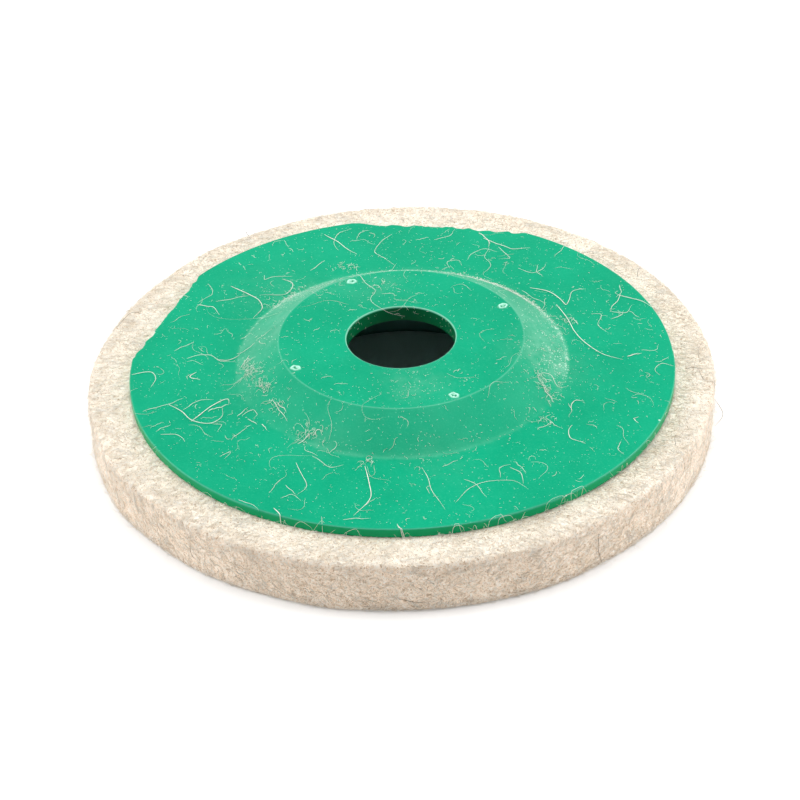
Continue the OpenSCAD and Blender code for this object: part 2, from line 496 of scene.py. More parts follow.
def add_mask(obj, name, values, kind="FLOAT"):
    layer = obj.data.attributes.new(name, kind, "POINT")
    key = "vector" if kind == "FLOAT_VECTOR" else "value"
    layer.data.foreach_set(key, np.ascontiguousarray(values, dtype=np.float32).ravel())


def make_piece(name, points, faces, material):
    mesh = bpy.data.meshes.new(name)
    mesh.from_pydata(points.tolist(), [], faces.tolist())
    mesh.polygons.foreach_set("use_smooth", np.ones(len(mesh.polygons), dtype=bool))
    mesh.materials.append(material)
    mesh.update()
    piece = bpy.data.objects.new(name, mesh)
    bpy.context.collection.objects.link(piece)
    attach(piece, "root")
    return piece


def spin_grid(angle_count, outline_count):
    """Quads that join a grid of points closed both ways, facing outwards."""
    a = np.arange(angle_count)[:, None]
    p = np.arange(outline_count)[None, :]
    b, q = (a + 1) % angle_count, (p + 1) % outline_count
    corners = [a * outline_count + p, a * outline_count + q,
               b * outline_count + q, b * outline_count + p]
    return np.stack([np.broadcast_to(c, (angle_count, outline_count)) for c in corners],
                    axis=-1).reshape(-1, 4)


RIPPLE_WAVES = 14


def ripple(theta, waves, size, seed):
    """A wobble that closes on itself round the wheel: waves is (fewest, most) per turn."""
    dice = np.random.default_rng(seed)
    total = np.zeros_like(theta)
    for _ in range(RIPPLE_WAVES):
        total = total + np.sin(dice.integers(waves[0], waves[1] + 1) * theta
                               + dice.uniform(0, 2 * np.pi))
    return total * size / math.sqrt(RIPPLE_WAVES / 2)


print("outline helpers ready")

# %% [markdown]
# ## Backing plate
# The outline runs up the bore, over the hub, down its side to the flange and back along the
# underside through the recess for the clamping nut. Two stretches of the round edge have been
# trimmed by hand, which leaves them flatter and ragged. The four gate marks on the hub are
# little craters with two pits, where the plastic was injected, and they get a finer grid.

# %% Plate outline and masks
GATE_FINE = 1.2 * MM
HUB_SLOPE = (HUB_Z - FLANGE_Z) / (HUB_FOOT_R - HUB_TOP_R)
plate_outline = outline([
    (BORE_R, WEB_Z, 0.1 * MM, 0.9 * MM),
    (BORE_R, HUB_Z - 0.7 * MM, 0, 0.15 * MM),
    (BORE_R, HUB_Z, EDGE_ROUND, 0.12 * MM),
    (BORE_R + 0.9 * MM, HUB_Z, 0, 2.0 * MM),
    (GATE_CIRCLE_R - GATE_FINE, HUB_Z, 0, 0.13 * MM),
    (GATE_CIRCLE_R + GATE_FINE, HUB_Z, 0, 0.3 * MM),
    (HUB_TOP_R, HUB_Z, 0.25 * MM, 0.12 * MM),
    (HUB_TOP_R + 0.8 * MM, HUB_Z - 0.8 * MM * HUB_SLOPE, 0, 1.2 * MM),
    (HUB_FOOT_R, FLANGE_Z, HUB_FILLET, 1.6 * MM),
    (PLATE_R - 5 * MM, FLANGE_Z, 0, 0.8 * MM),
    (PLATE_R - 0.9 * MM, FLANGE_Z, 0, 0.12 * MM),
    (PLATE_R, FLANGE_Z, EDGE_ROUND, 0.4 * MM),
    (PLATE_R, PLATE_Z, 0.1 * MM, 6.0 * MM),
    (FELT_HOLE_R, PLATE_Z, 0.2 * MM, 2.0 * MM),
    (RECESS_R, WEB_Z, 0.4 * MM, 4.0 * MM),
])
plate_angles = stations(0.9, [(m, h + 1.5, 0.22) for m, h, _, _ in TRIMS]
                        + [(g, 2.7, 0.15) for g in GATE_ANGLES])


def rim_radius(theta):
    """Radius of the plate's edge at an angle: a little out of round, and trimmed twice."""
    degrees = np.degrees(theta) % 360
    rim = PLATE_R + 0.45 * MM * np.exp(-((degrees - 325) / 28) ** 2) + 0.3 * MM * np.exp(
        -((degrees - 210) / 28) ** 2)
    for number, (middle, half, depth, square) in enumerate(TRIMS):
        off = (np.degrees(theta) - middle + 180) % 360 - 180
        share = np.clip(1 - np.abs(off / half) ** square, 0, 1)
        ragged = ripple(theta, (90, 240), 0.05 * MM, 5 + number) + ripple(
            theta, (30, 90), 0.2 * MM, 9 + number)
        rim = rim - share * depth + ragged * np.minimum(1, share * 3)
    return rim


def gate_marks(x, y):
    """Height and paleness of the gate marks at points of the hub's top."""
    height, pale = np.zeros_like(x), np.zeros_like(x)
    for number, angle in enumerate(np.radians(GATE_ANGLES)):
        dx, dy = x - GATE_CIRCLE_R * math.cos(angle), y - GATE_CIRCLE_R * math.sin(angle)
        away, way = np.hypot(dx, dy), np.arctan2(dy, dx)
        ring_r = (0.74 + 0.10 * np.sin(2 * way + number) + 0.06 * np.sin(5 * way + 2 * number)) * MM
        ring = np.exp(-((away - ring_r) / (0.2 * MM)) ** 2)
        height += ring * (0.22 + 0.05 * np.sin(3 * way + number)) * MM
        pits = 0
        for side in (-1, 1):
            px, py = side * 0.3 * MM * math.cos(number), side * 0.3 * MM * math.sin(number)
            pits = pits + np.exp(-(((dx - px) ** 2 + (dy - py) ** 2) / (0.25 * MM) ** 2) ** 2)
        height -= pits * 0.3 * MM
        pale += np.clip(ring + 0.75 * np.exp(-(away / (0.6 * MM)) ** 4) - 1.1 * pits, 0, 1)
    return height, np.clip(pale, 0, 1)


# %% Make the plate
theta = plate_angles[:, None]
radius = np.broadcast_to(plate_outline[None, :, 0], (len(plate_angles), len(plate_outline)))
height = np.broadcast_to(plate_outline[None, :, 1], radius.shape).copy()
rim = rim_radius(theta)
STRETCH_FROM = PLATE_R - 6 * MM
share = np.clip((radius - STRETCH_FROM) / (PLATE_R - STRETCH_FROM), 0, 1)
radius = radius + share * (rim - PLATE_R)
x, y = radius * np.cos(theta), radius * np.sin(theta)
on_top = np.clip((height - PLATE_Z) / FLANGE_T, 0, 1)
height += on_top * (ripple(theta, (2, 7), 0.03 * MM, 3) * (radius / PLATE_R) ** 2)
is_hub_top = (np.abs(plate_outline[:, 1] - HUB_Z) < 0.01 * MM)[None, :]
crater, crater_pale = gate_marks(x, y)
height += crater * is_hub_top

# Painted highlights on the bore's edge, the hub's top edge and the rim's edge, stronger along the
# trimmed stretches; the gate marks are pale
bore_edge_highlight = np.exp(-((radius - BORE_R - 0.1 * MM) / (0.1 * MM)) ** 2) * (height > HUB_Z - 0.32 * MM)
rim_edge_highlight = np.exp(-((rim - radius) / (0.16 * MM)) ** 2) * np.clip(
    1 - np.abs(height - FLANGE_Z + 0.1 * MM) / (0.3 * MM), 0, 1)
trimmed = np.clip((PLATE_R - rim) / (1.0 * MM), 0, 1)
hub_edge_highlight = np.exp(-((radius - HUB_TOP_R) / (0.12 * MM)) ** 2) * (height > HUB_Z - 0.3 * MM)
worn = np.clip(0.55 * bore_edge_highlight + 0.15 * hub_edge_highlight + rim_edge_highlight * (0.14 + 0.2 * trimmed)
               + crater_pale * is_hub_top, 0, 1)


def dust_cloud(x, y, angle, radius, spread):
    """A soft patch of dust round a place given by its angle and radius."""
    cx, cy = radius * math.cos(math.radians(angle)), radius * math.sin(math.radians(angle))
    return np.exp(-((x - cx) ** 2 + (y - cy) ** 2) / spread ** 2)


def dust_density(x, y):
    """How thickly the dust lies: in patches, and in a line at the hub's foot."""
    away, way = np.hypot(x, y), np.degrees(np.arctan2(y, x))
    foot_line = np.exp(-((away - HUB_FOOT_R) / (0.5 * MM)) ** 2)
    foot_line = foot_line * (0.15 + 0.85 * np.exp(-((way - 45) / 45) ** 2)
                             + 0.5 * np.exp(-((way - 135) / 25) ** 2))
    patches = (0.9 * dust_cloud(x, y, -12, 31 * MM, 7 * MM)
               + 0.5 * dust_cloud(x, y, 20, 33 * MM, 5 * MM)
               + 0.5 * dust_cloud(x, y, 195, 32 * MM, 6 * MM)
               + 0.4 * dust_cloud(x, y, 240, 34 * MM, 5 * MM)
               + 0.3 * dust_cloud(x, y, 280, 37 * MM, 6 * MM)
               + 0.5 * dust_cloud(x, y, 278, 17 * MM, 6 * MM)
               + 0.4 * dust_cloud(x, y, 105, 20 * MM, 6 * MM)
               + 0.6 * dust_cloud(x, y, 130, 30 * MM, 6 * MM)
               + 0.5 * dust_cloud(x, y, 135, 38 * MM, 9 * MM))
    patches = patches * np.where(away < HUB_FOOT_R + 0.6 * MM, 1.0, 0.45)
    return np.clip(0.02 + 1.0 * foot_line + 0.5 * patches, 0, 1.4)


def slope_dust_and_sheen(x, y):
    """Dust and painted sheen on the hub's sloping side, all round but the front."""
    away, way = np.hypot(x, y), np.degrees(np.arctan2(y, x)) % 360
    on_slope = (away > HUB_TOP_R + 0.1 * MM) & (away < HUB_FOOT_R)
    from_back = np.abs((way - 85 + 180) % 360 - 180)
    return on_slope * np.clip((105 - from_back) / 14, 0, 1)


# Dust in patches and at the hub's foot, plus a painted sheen on the hub's slope, all round but the front
dust_and_sheen = np.clip(0.45 * dust_density(x, y) + 0.15 * slope_dust_and_sheen(x, y), 0, 1) * (on_top > 0.9)
backing = make_piece("backing_plate_moulded", np.stack([x, y, height], -1).reshape(-1, 3),
                     spin_grid(*radius.shape), green_plastic)
add_mask(backing, "worn", worn)
add_mask(backing, "dust_and_sheen", dust_and_sheen)
# Painted shade on the rim's wall
add_mask(backing, "wall", (radius > rim - 0.05 * MM) & (height < FLANGE_Z - 0.3 * MM))
# Painted shade down the bore's wall
add_mask(backing, "bore_shade", (radius < BORE_R + 0.05 * MM) & (height < HUB_Z - 0.35 * MM))
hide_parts("backing_plate")
print("plate:", len(backing.data.polygons), "faces")

# %% [markdown]
# ## Felt ring
# Pressed wool is never quite round or flat. The ring swells a little at the back and on one
# side, its edges have worn round, and its skin is lumpy. The lumps come from noise that pushes
# each point out along the outline's own normal, less where the plate sits on it.

# %% Felt outline
felt_outline = outline([
    (FELT_HOLE_R, 0.0, 0.3 * MM, 2.2 * MM),
    (FELT_R - 6 * MM, 0.0, 0, 0.8 * MM),
    (FELT_R, 0.0, FELT_ROUND, 0.42 * MM),
    (FELT_R, FELT_H, FELT_ROUND, 0.42 * MM),
    (PLATE_R - 4.5 * MM, FELT_H, 0, 3.0 * MM),
    (FELT_HOLE_R, FELT_H, 0.1 * MM, 2.5 * MM),
])
ahead = np.roll(felt_outline, -1, 0) - np.roll(felt_outline, 1, 0)
felt_normal = np.stack([ahead[:, 1], -ahead[:, 0]], -1)
felt_normal /= np.linalg.norm(felt_normal, axis=1, keepdims=True)
felt_walk = np.concatenate([[0], np.cumsum(np.linalg.norm(np.diff(felt_outline, axis=0), axis=1))])


def out_of_round(theta):
    """How far the felt's edge stands outside its nominal circle."""
    back = 1.3 * MM * np.exp(-((np.degrees(theta) % 360 - 85) / 45) ** 2)
    left = 0.7 * MM * np.exp(-((np.degrees(theta) % 360 - 205) / 35) ** 2)
    return back + left + 0.1 * MM + ripple(theta, (3, 18), 0.12 * MM, 21)


def settled(theta, radius):
    """Change in the height of the felt's top: pushed up round the rim, sunk on the softest side."""
    bulge = 0.26 * MM * np.exp(-((radius - rim_radius(theta)) / (0.8 * MM)) ** 2)
    beside = np.clip((radius - PLATE_R + 3 * MM) / MM, 0, 1) * np.clip(
        (60 * MM - radius) / (3 * MM), 0, 1)
    return bulge - 0.4 * MM * beside * np.exp(-((np.degrees(theta) % 360 - 325) / 30) ** 2)


# %% Make the felt
felt_angles = np.append(stations(0.42), 2 * np.pi - 1e-5)  # closes the skin without a seam
theta = felt_angles[:, None]
radius = felt_outline[None, :, 0]
height = felt_outline[None, :, 1]
OUTER_PART = FELT_R - 10 * MM
share = np.clip((radius - OUTER_PART) / (FELT_R - OUTER_PART), 0, 1)
radius = radius + share * out_of_round(theta)
height = height + settled(theta, radius) * (height > 0.5 * FELT_H)
x, y = radius * np.cos(theta), radius * np.sin(theta)
under_plate = (felt_outline[:, 0] < PLATE_R - 3.2 * MM) & (felt_outline[:, 1] > 0.5 * FELT_H)
on_face = (felt_outline[:, 1] < 0.05 * MM)
# Glued under the plate and round the hole; these places are also painted dark for shade
glued_and_shaded = under_plate | (felt_outline[:, 0] < FELT_HOLE_R + 1.0 * MM)
freedom = np.where(glued_and_shaded, 0.0, np.where(on_face, 0.15, 1.0))
lumps = np.array([
    0.16 * noise.noise(Vector(p) * 110) + 0.05 * noise.noise(Vector(p) * 520)
    + 0.05 * noise.noise(Vector(p) * 1500)
    for p in np.stack([x, y, height], -1).reshape(-1, 3)]).reshape(radius.shape)
push = (lumps + 0.02) * MM * freedom[None, :]
push = np.where(on_face[None, :], -np.abs(push), push)
x = x + push * felt_normal[None, :, 0] * np.cos(theta)
y = y + push * felt_normal[None, :, 0] * np.sin(theta)
z = np.maximum(height + push * felt_normal[None, :, 1], 0.0)
z = np.where(radius < rim_radius(theta), np.minimum(z, PLATE_Z - 0.02 * MM), z)
felt = make_piece("felt_ring_pressed", np.stack([x, y, z], -1).reshape(-1, 3),
                  spin_grid(*radius.shape), wool_felt)
walk = np.broadcast_to(felt_walk[None, :], radius.shape)
add_mask(felt, "skin", np.stack([theta * FELT_R + 0 * walk, walk, 0 * walk], -1), "FLOAT_VECTOR")
side_share = np.clip(felt_normal[:, 0], 0, 1) ** 2
add_mask(felt, "side", np.broadcast_to(side_share[None, :], radius.shape))
add_mask(felt, "glued_and_shaded", np.broadcast_to(glued_and_shaded[None, :], radius.shape))
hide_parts("felt_ring")
print("felt:", len(felt.data.polygons), "faces")

# %% [markdown]
# ## Fibres
# A fibre is a three-sided tube along a curved path, thin at its ends. Hair systems would draw
# finer hair, but they leave no mesh behind, and the wheel has to export as meshes. All fibres
# of one kind are built at once from arrays of paths.

# %% Fibre helper


def make_fibres(name, paths, thickness, tones):
    """paths is (count, points, 3); thickness and tones hold one value for each fibre."""
    count, steps, _ = paths.shape
    along = np.gradient(paths, axis=1)
    along /= np.linalg.norm(along, axis=2, keepdims=True) + 1e-12
    across = np.cross(along, np.array([0.31, 0.17, 0.93]))
    across /= np.linalg.norm(across, axis=2, keepdims=True) + 1e-12
    up = np.cross(across, along)
    taper = np.interp(np.linspace(0, 1, steps), [0, 0.2, 0.7, 1], [0.55, 1, 0.9, 0.3])
    width = (thickness[:, None] * taper)[:, :, None]
    rings = [paths + width * (math.cos(turn) * across + math.sin(turn) * up)
             for turn in (0, 2 * math.pi / 3, 4 * math.pi / 3)]
    points = np.stack(rings, axis=2)
    first = (np.arange(count) * steps * 3)[:, None, None]
    step = (np.arange(steps - 1) * 3)[None, :, None]
    k = np.arange(3)[None, None, :]
    base, nxt = first + step + k, first + step + (k + 1) % 3
    sides = np.stack([base, nxt, nxt + 3, base + 3], -1).reshape(-1, 4)
    start = np.arange(count) * steps * 3
    end = start + (steps - 1) * 3
    caps = [[s + 2, s + 1, s] for s in start.tolist()] + [[e, e + 1, e + 2] for e in end.tolist()]
    mesh = bpy.data.meshes.new(name)
    mesh.from_pydata(points.reshape(-1, 3).tolist(), [], sides.tolist() + caps)
    mesh.polygons.foreach_set("use_smooth", np.ones(len(mesh.polygons), dtype=bool))
    mesh.materials.append(wool_fibre)
    mesh.update()
    piece = bpy.data.objects.new(name, mesh)
    bpy.context.collection.objects.link(piece)
    add_mask(piece, "tone", np.repeat(tones, steps * 3))
    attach(piece, "root")
    print(name + ":", count, "fibres,", len(mesh.polygons), "faces")
    return piece


def wander(start_a, start_b, heading, length, bend, steps, dice, wobble=0.5):
    """Flat curved paths: heading turns by bend from end to end, plus a wobble."""
    s = np.linspace(0, 1, steps)[None, :]
    phase = dice.uniform(0, 2 * np.pi, (len(start_a), 1))
    turn = heading[:, None] + bend[:, None] * s + wobble * np.sin(2 * np.pi * s + phase)
    stride = (length / (steps - 1))[:, None]
    a = start_a[:, None] + np.concatenate(
        [np.zeros((len(start_a), 1)), np.cumsum(np.cos(turn) * stride, 1)[:, :-1]], 1)
    b = start_b[:, None] + np.concatenate(
        [np.zeros((len(start_a), 1)), np.cumsum(np.sin(turn) * stride, 1)[:, :-1]], 1)
    return a, b


# %% [markdown]
# ## Fuzz on the felt
# The felt's surface fibres lie along its skin, and a few stand off it and blur its edge. The
# side, the top and a shorter layer over both have the most, then the edge and the foot. Their
# paths are drawn on the unrolled skin, as a distance round the wheel and a distance along the
# outline, and then wrapped back on. Longer stray hairs and a few dark ones go on in the same
# way, with their own lengths and tones.

# %% Wrap paths on the skin
skin_from = felt_walk[np.argmax(felt_outline[:, 0] > FELT_R - 2.0 * MM)]
top_end = np.argmax((felt_outline[:, 1] > 0.9 * FELT_H) & (felt_outline[:, 0] < PLATE_R - 3.5 * MM))
skin_to = felt_walk[top_end]
corner_top = felt_walk[np.argmax(felt_outline[:, 1] > FELT_H - FELT_ROUND)]


def wrap(around, walk, lift):
    """Points on the felt's skin: around in metres at the rim, walk along the outline."""
    theta = around / FELT_R
    walk = np.clip(walk, 0, felt_walk[-1])
    r = np.interp(walk, felt_walk, felt_outline[:, 0])
    z = np.interp(walk, felt_walk, felt_outline[:, 1])
    out_r = np.interp(walk, felt_walk, felt_normal[:, 0])
    out_z = np.interp(walk, felt_walk, felt_normal[:, 1])
    share = np.clip((r - OUTER_PART) / (FELT_R - OUTER_PART), 0, 1)
    r = r + share * out_of_round(theta) + lift * out_r
    z = np.maximum(z + lift * out_z + settled(theta, r) * (z > 0.5 * FELT_H), 0.03 * MM)
    return np.stack([r * np.cos(theta), r * np.sin(theta), z], -1)


def felt_fuzz(name, count, walk_range, mean_length, stands_share, rise, thick, seed,
              grain=0.0, steps=5, tones=(0.0, 0.93)):
    """Fibres on the skin between two distances along the outline."""
    dice = np.random.default_rng(seed)
    around = dice.uniform(0, 2 * np.pi * FELT_R, count)
    walk = dice.uniform(*walk_range, count)
    heading = dice.uniform(0, 2 * np.pi, count)
    heading = np.where(dice.random(count) < grain, dice.normal(0, 0.35, count), heading)
    length = dice.gamma(4.0, mean_length / 4.0, count)
    bend = dice.normal(0, 1.1, count)
    a, b = wander(around, walk, heading, length, bend, steps, dice)
    s = np.linspace(0, 1, steps)[None, :]
    stands = dice.random(count) < stands_share
    height = np.where(stands, dice.gamma(2.0, rise / 2, count), 0.06 * MM)[:, None]
    lift = 0.05 * MM + height * s ** 1.5 + 0.06 * MM * np.sin(np.pi * s)
    paths = wrap(a, b, lift)
    tone = tones[0] + (tones[1] - tones[0]) * dice.beta(1.2, 2.0, count)
    return make_fibres(name, paths, dice.uniform(*thick, count) * MM, tone)


# %% Lay the fuzz
felt_fuzz("felt_side_fuzz", 6200, (skin_from, corner_top), 2.3 * MM, 0.15, 0.3 * MM,
          (0.032, 0.055), 31, grain=0.35, steps=6, tones=(0.1, 0.85))
felt_fuzz("felt_top_fuzz", 6200, (corner_top, skin_to), 2.6 * MM, 0.12, 0.3 * MM,
          (0.036, 0.062), 32, steps=6, tones=(0.0, 0.78))
felt_fuzz("felt_short_fuzz", 4200, (skin_from, skin_to), 1.8 * MM, 0.12, 0.3 * MM,
          (0.034, 0.056), 37, tones=(0.0, 0.8))
felt_fuzz("felt_edge_fuzz", 3600, (corner_top - 1.0 * MM, corner_top + 3.0 * MM), 1.6 * MM, 0.6,
          0.55 * MM, (0.022, 0.04), 33)
felt_fuzz("felt_foot_fuzz", 2000, (skin_from - 1.0 * MM, skin_from + 3.0 * MM), 1.6 * MM, 0.6,
          0.6 * MM, (0.022, 0.04), 34)
felt_fuzz("felt_stray_hairs", 170, (skin_from + 2 * MM, skin_to), 5.0 * MM, 0.8, 1.1 * MM,
          (0.02, 0.035), 35, steps=12)
felt_fuzz("felt_dark_hairs", 40, (skin_from + 1 * MM, skin_to), 2.0 * MM, 0.2, 0.3 * MM,
          (0.025, 0.04), 36, steps=7, tones=(0.9, 1.0))

# %% [markdown]
# ## Loose fibres on the plate
# Wool sheds all over the plate. The fibres that catch the eye are laid one by one, each through
# a few points in millimetres, with a smooth curve between them. Many short ones are scattered,
# and the finest bits gather where the dust lies. All of them rest on the plate's surface.

# %% Height of what lies under a fibre


def ground(x, y):
    """Height of the wheel's upper side at a place, falling away inside the bore."""
    away, theta = np.hypot(x, y), np.arctan2(y, x)
    cone = HUB_Z - HUB_SLOPE * (away - HUB_TOP_R)
    level = np.clip(cone, FLANGE_Z, HUB_Z)
    level = np.where(away > rim_radius(theta), FELT_H, level)
    return np.where(away < BORE_R, HUB_Z - 0.7 * (BORE_R - away), level)


def lay(x, y, thickness, arch, dice):
    """Paths that rest on the wheel, bridge its steps and arch up a little in between."""
    z = ground(x, y)
    for _ in range(3):
        padded = np.pad(z, ((0, 0), (1, 1)), mode="edge")
        z = np.maximum(z, (padded[:, :-2] + padded[:, 2:]) / 2)
    s = np.linspace(0, 1, x.shape[1])[None, :]
    waves = np.sin(np.pi * s * dice.integers(1, 4, (len(x), 1)))
    z = z + thickness[:, None] + np.abs(waves) * arch[:, None]
    return np.stack([x, y, z], -1)


def through(points, steps):
    """A smooth path of even steps through a few points in millimetres."""
    points = np.array(points, dtype=float) * MM
    knots = np.concatenate([[0], np.cumsum(np.linalg.norm(np.diff(points, axis=0), axis=1))])
    slope = np.gradient(points, knots, axis=0)
    s = np.linspace(0, knots[-1], steps)
    i = np.clip(np.searchsorted(knots, s) - 1, 0, len(points) - 2)
    gap = (knots[i + 1] - knots[i])[:, None]
    t = (s - knots[i])[:, None] / gap
    return ((2 * t ** 3 - 3 * t ** 2 + 1) * points[i] + (3 * t ** 2 - 2 * t ** 3) * points[i + 1]
            + (t ** 3 - 2 * t ** 2 + t) * gap * slope[i] + (t ** 3 - t ** 2) * gap * slope[i + 1])


# %% Lay the fibres that catch the eye
THICK_FIBRES = [
    [(-16, 50), (-13, 46), (-9, 41)], [(-25, 32), (-23, 30), (-24, 26), (-30, 26)],
    [(-36, 30), (-32, 26), (-30, 24), (-29, 21), (-31, 17)], [(-43, 23), (-40, 22), (-38, 19)],
    [(19, 46), (22, 43), (25, 41), (29, 41)], [(18, 48), (20, 45), (20, 42)],
    [(28, 25), (32, 23), (34, 20), (35, 18), (36, 20), (37, 23), (39, 24)],
    [(33, 18), (35, 12), (36, 8), (38, 3), (41, -1), (45, -3)], [(36, 13), (37, 10)],
    [(47, 21), (44, 15)], [(46, 21), (50, 19), (53, 16)], [(46, -2), (49, -1)],
    [(28, -14), (30, -17)], [(33, -20), (34, -17), (36, -17)],
    [(33, -25), (32, -27), (32, -29), (35, -31)], [(46, -23), (45, -24), (46, -25)],
    [(-8, -36), (-7, -41), (-7, -46), (-10, -51)], [(-21, -28), (-18, -26)],
    [(-18, -27), (-17, -26), (-16, -27)], [(-25, -48), (-23, -52)],
    [(-33, -18), (-31, -15)], [(-38, 2), (-35, 2), (-33, 4)], [(-33, -2), (-31, 1)],
    [(-31, -19), (-29, -21)], [(-28, -21), (-27, -23)], [(-26, -16), (-24, -20), (-23, -22)],
    [(-25, -17), (-23, -20)], [(-39, -16), (-35, -14)],
    [(-42, -19), (-38, -14), (-35, -12), (-35, -14)],
    [(-47, -13), (-44, -16), (-42, -19), (-38, -20), (-36, -18), (-36, -15)],
    [(-2, -54), (-1, -56), (2, -57)], [(-2, -55), (0, -56), (4, -58)], [(4, -57), (6, -58)],
    [(-55, -2), (-51, -2), (-50, -4), (-51, -7)], [(-42, -2), (-43, -4), (-41, -5)],
]
SLIM_FIBRES = [
    [(-13, 43), (-14, 47), (-13, 50), (-10, 52)], [(-25, 48), (-24, 45)], [(-19, 35), (-16, 39)],
    [(-35, 40), (-33, 36)], [(-32, 42), (-31, 41)], [(-29, 34), (-29, 32), (-27, 33), (-23, 33)],
    [(-39, 24), (-32, 26)], [(-41, 31), (-40, 27), (-43, 24)], [(-9, 47), (-8, 50), (-6, 51)],
    [(-1, 49), (-4, 45), (-5, 42), (-3, 39), (-1, 36)], [(4, 46), (7, 47)],
    [(8, 46), (11, 47), (13, 50)],
    [(-9, 33), (-8, 23), (-7, 20), (-5, 17), (-6, 15), (-3, 10), (1, 9)],
    [(11, 34), (11, 37), (13, 37), (14, 35)], [(15, 37), (16, 39), (18, 41), (22, 40)],
    [(20, 42), (19, 38), (20, 35), (18, 31)], [(22, 42), (24, 37), (22, 37)], [(37, 42), (34, 37)],
    [(26, 33), (29, 31), (31, 32), (32, 35)], [(30, 34), (30, 31), (31, 29)],
    [(26, 24), (31, 18)], [(31, 21), (30, 16)], [(40, 14), (42, 14), (41, 10), (43, 7)],
    [(47, 25), (47, 22), (46, 20)], [(44, 15), (47, 14), (49, 17)], [(48, 15), (50, 12)],
    [(44, 12), (46, 13), (47, 15)], [(49, 0), (52, 0), (53, 2)],
    [(52, -9), (51, -7), (53, -5), (55, -6)], [(28, -10), (30, -10), (31, -12), (33, -12)],
    [(29, -21), (28, -22), (29, -24), (31, -26)], [(26, -26), (29, -24)],
    [(42, -31), (41, -33), (42, -35)], [(3, -37), (4, -40), (5, -45), (7, -50)],
    [(7, -37), (10, -35)], [(9, -48), (12, -44), (16, -42), (20, -42), (23, -45)],
    [(11, -41), (13, -43), (15, -47)], [(18, -41), (18, -38), (20, -37)],
    [(20, -38), (22, -40), (22, -43)], [(21, -36), (23, -40)],
    [(-18, -32), (-17, -33), (-14, -36), (-12, -35)], [(-21, -34), (-20, -38), (-19, -42), (-21, -44)],
    [(-23, -41), (-21, -44)], [(-26, -43), (-24, -39)], [(-24, -45), (-22, -44), (-20, -46)],
    [(-8, -48), (-6, -46)], [(-12, -52), (-7, -52)], [(-32, -45), (-30, -46), (-28, -48)],
    [(-34, 4), (-31, 4), (-30, 5)], [(-32, -18), (-30, -16), (-29, -18), (-30, -19)],
    [(-34, -26), (-32, -23), (-30, -21)], [(-44, 3), (-40, 4), (-36, 1), (-34, 1)],
    [(-52, -15), (-47, -13), (-44, -11)], [(-44, -15), (-40, -12), (-38, -12)],
    [(-38, -20), (-36, -21), (-37, -23)], [(-49, -22), (-46, -20)], [(-48, -23), (-44, -24), (-43, -26)],
    [(-36, -31), (-34, -30), (-35, -32)], [(-47, 6), (-43, 9)], [(-16, -51), (-16, -54), (-14, -57)],
    [(7, -57), (8, -55), (10, -55), (11, -57)], [(24, -51), (25, -50), (26, -51)],
]
LAID_STEPS = 26
dice = np.random.default_rng(40)
for name, routes, thick in (("plate_thick_fibres", THICK_FIBRES, (0.06, 0.085)),
                            ("plate_slim_fibres", SLIM_FIBRES, (0.035, 0.05))):
    flat = np.array([through(route, LAID_STEPS) for route in routes])
    flat += 0.12 * MM * np.sin(np.linspace(0, 9, LAID_STEPS)[None, :, None] + dice.uniform(
        0, 6, (len(routes), 1, 2)))
    thickness = dice.uniform(*thick, len(routes)) * MM
    paths = lay(flat[:, :, 0], flat[:, :, 1], thickness, dice.uniform(0, 0.2, len(routes)) * MM, dice)
    make_fibres(name, paths, thickness, dice.uniform(0, 0.1, len(routes)))

# %% Lay the dark hairs on the felt
# Each place: degrees round, mm in from the top's edge (less than 0 is on the side), mm clear
FELT_HAIRS = [
    [(163, 1, 0), (158, 3, 1), (157, 5, 0)], [(121, 0, 0), (122, 1, 1), (122, 3, 0)],
    [(31, 4, 0), (32, 3, 1), (33, 1, 0)], [(-4, 6, 0), (-5, 4, 1), (-8, 2, 0), (-8, 0, 0)],
    [(-2, 3, 0), (1, 3, 1), (5, 1, 0)], [(-10, -2, 0), (-13, -3, 2), (-17, -3, 1)],
    [(-56, -2, 0), (-56, -6, 0), (-55, -10, 0)], [(-92, -7, 0), (-89, -8, 0), (-86, -8, 0)],
    [(230, -4, 0), (231, -5, 1), (231, -7, 0)], [(-30, 3, 0), (-28, 4, 1), (-27, 3, 0)],
]
flat = np.array([through(route, 16) for route in FELT_HAIRS])
paths = wrap(np.radians(flat[..., 0] / MM) * FELT_R, corner_top + flat[..., 1],
             flat[..., 2] + 0.25 * MM)
make_fibres("felt_laid_hairs", paths, dice.uniform(0.045, 0.06, len(paths)) * MM,
            dice.uniform(0.92, 1.0, len(paths)))

# %% [markdown]
# ## Short fibres, bits and tufts
# The rest of the wool on the plate is scattered. Short fibres fall nearly evenly. Bits thinner
# and shorter than that gather in the dust at the hub's foot. In a few places they have matted into
# tufts, which are short curly fibres strewn along a line. Where the felt meets the plate's rim,
# its own fibres lean over on the plastic in little arches.

# %% Scatter short fibres and bits


def scatter(count, seed, evenly):
    """Random places on the plate, denser where the dust lies: more are tried than are kept."""
    dice = np.random.default_rng(seed)
    tries = count * 9
    r = np.sqrt(dice.uniform((BORE_R + 0.5 * MM) ** 2, (PLATE_R - 0.5 * MM) ** 2, tries))
    theta = dice.uniform(0, 2 * np.pi, tries)
    x, y = r * np.cos(theta), r * np.sin(theta)
    keep = dice.random(tries) < dust_density(x, y) + evenly
    return x[keep][:count], y[keep][:count]


